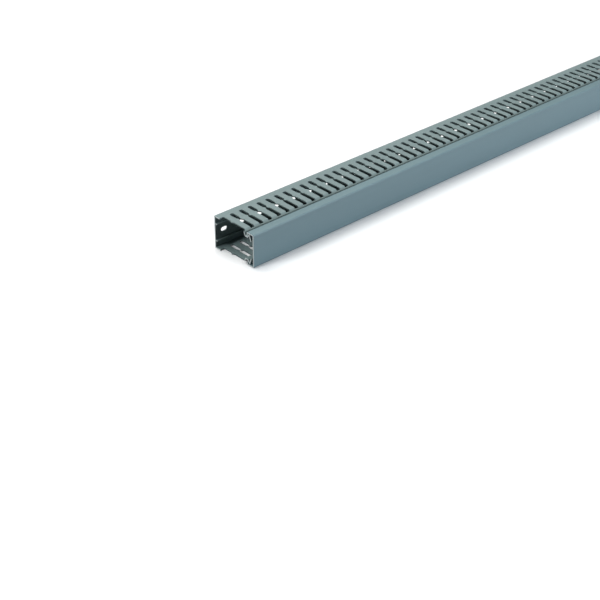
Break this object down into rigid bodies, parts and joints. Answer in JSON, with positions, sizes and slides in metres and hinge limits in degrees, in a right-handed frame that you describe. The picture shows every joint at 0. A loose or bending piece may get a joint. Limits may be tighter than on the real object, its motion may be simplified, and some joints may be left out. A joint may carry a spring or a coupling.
{
  "type": "slotted wire duct",
  "caption": "Grey plastic wire duct: a long channel with slotted side walls and mounting slots in its base, closed by a plain clip-on cover.",
  "frame": {"origin": "centre of the duct's footprint, on the surface that its lower slotted wall lies on", "axes": "+X along the duct, away from the sawn end with the shorter cover; +Y out of the base plate's back face; -Y out of the cover; +Z out of the upper slotted wall"},
  "size_m": [1, 0.061, 0.0395],
  "materials": {
    "channel_pvc": "rigid PVC, grey, extruded, satin",
    "cover_pvc": "rigid PVC, grey with a slight blue cast, extruded, satin"
  },
  "bodies": {
    "duct": {"base_channel": "channel_pvc"},
    "cover": {"cover": "cover_pvc"}
  },
  "joints": [
    {"name": "cover_slide", "type": "slide", "parent": "duct", "child": "cover", "axis": [1, 0, 0], "range_m": [-1.01, 1.01]}
  ]
}
